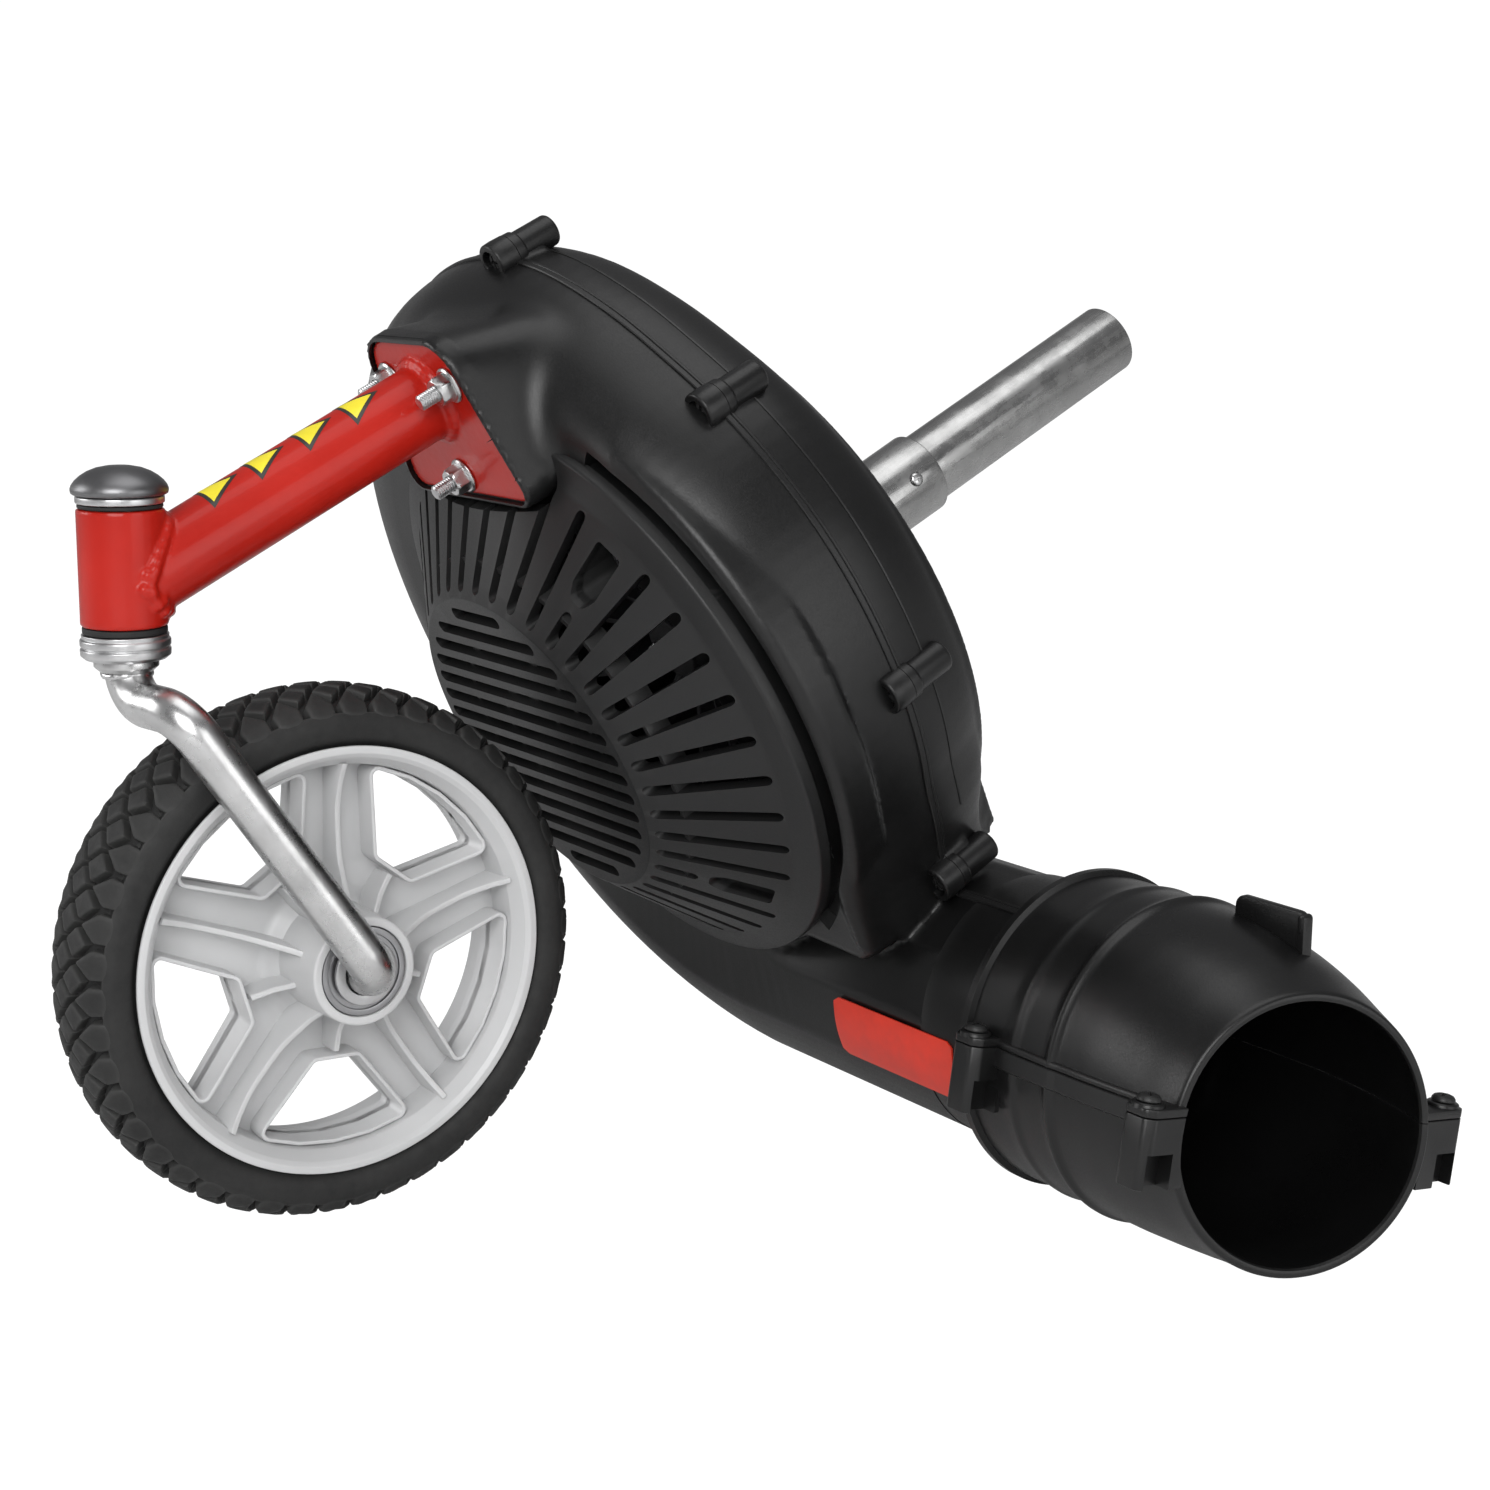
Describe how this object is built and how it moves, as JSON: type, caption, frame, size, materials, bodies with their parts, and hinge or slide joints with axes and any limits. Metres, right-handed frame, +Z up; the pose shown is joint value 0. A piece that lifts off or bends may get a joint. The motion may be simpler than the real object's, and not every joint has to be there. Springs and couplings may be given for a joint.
{
  "type": "walk behind leaf blower head",
  "caption": "Front head of a walk behind leaf blower: swivelling caster wheel on a red neck, black spiral fan housing with slotted intake, drive tube and turning outlet nozzle.",
  "frame": {"origin": "on the ground, at the middle of the footprint (the bounding box, seen from above)", "axes": "+Z up, -Y towards the caster wheel, +X towards the outlet nozzle"},
  "size_m": [0.4902, 0.501, 0.3754],
  "materials": {
    "housing_plastic": "moulded black plastic, fine texture, low sheen",
    "grille_plastic": "moulded black plastic, fine texture",
    "red_paint": "gloss red powder coat on welded steel",
    "tyre_rubber": "black moulded rubber, matte",
    "rim_plastic": "light silver-grey moulded plastic",
    "zinc_plate": "bright zinc plating, slightly mottled",
    "galvanised_tube": "galvanised steel tube with fine scratches",
    "dark_steel": "plain machined steel",
    "seal_rubber": "black rubber",
    "label_film": "plain red film, no lettering",
    "nylon": "dark glass-filled nylon",
    "cast_alloy": "die-cast, as cast"
  },
  "bodies": {
    "head": {"neck_frame": "red_paint", "lower_seal": "seal_rubber", "upper_seal": "seal_rubber", "head_bush_lower": "nylon", "head_bush_upper": "nylon", "flange_stud_1": "zinc_plate", "flange_stud_2": "zinc_plate", "flange_stud_3": "zinc_plate", "flange_nut_1": "zinc_plate", "flange_nut_2": "zinc_plate", "flange_nut_3": "zinc_plate", "housing_front": "housing_plastic", "housing_rear": "housing_plastic", "housing_screw_1": "dark_steel", "housing_screw_2": "dark_steel", "housing_screw_3": "dark_steel", "housing_screw_4": "dark_steel", "housing_screw_5": "dark_steel", "housing_screw_6": "dark_steel", "housing_screw_7": "dark_steel", "housing_screw_8": "dark_steel", "intake_grille": "grille_plastic", "grille_screw_1": "dark_steel", "grille_screw_2": "dark_steel", "grille_screw_3": "dark_steel", "grille_screw_4": "dark_steel", "bearing_carrier": "cast_alloy", "carrier_screw_1": "zinc_plate", "carrier_screw_2": "zinc_plate", "carrier_screw_3": "zinc_plate", "shaft_bearing_front": "dark_steel", "shaft_bearing_rear": "dark_steel", "drive_tube": "galvanised_tube", "tube_collar": "galvanised_tube", "collar_screw": "dark_steel", "duct_label": "label_film"},
    "caster": {"fork": "zinc_plate", "lower_race": "zinc_plate", "upper_ring": "zinc_plate", "stem_nut": "zinc_plate", "head_cap": "zinc_plate", "axle_washer_near": "zinc_plate", "axle_washer_far": "zinc_plate", "axle_nut": "zinc_plate", "wheel_spacer": "dark_steel"},
    "wheel": {"tyre": "tyre_rubber", "wheel_rim": "rim_plastic", "wheel_bearing_near": "dark_steel", "wheel_bearing_far": "dark_steel"},
    "rotor": {"impeller": "nylon", "impeller_nut": "zinc_plate", "drive_shaft": "dark_steel"},
    "nozzle": {"nozzle_upper": "housing_plastic", "nozzle_lower": "housing_plastic", "nozzle_screw_1": "dark_steel", "nozzle_screw_2": "dark_steel", "nozzle_screw_3": "dark_steel", "nozzle_screw_4": "dark_steel"}
  },
  "joints": [
    {"name": "caster_swivel", "type": "hinge", "parent": "head", "child": "caster", "pos_m": [-0.05209, -0.22092, 0.231], "axis": [0, 0, 1], "continuous": true},
    {"name": "wheel_spin", "type": "hinge", "parent": "caster", "child": "wheel", "pos_m": [-0.05209, -0.14892, 0.1016], "axis": [1, 0, 0], "continuous": true},
    {"name": "impeller_spin", "type": "hinge", "parent": "head", "child": "rotor", "pos_m": [-0.05209, 0.02108, 0.209], "axis": [0, 0.8894, 0.4571], "continuous": true},
    {"name": "nozzle_turn", "type": "hinge", "parent": "head", "child": "nozzle", "pos_m": [0.10791, 0.09193, 0.07114], "axis": [1, 0, 0], "range_deg": [-60, 60]}
  ]
}
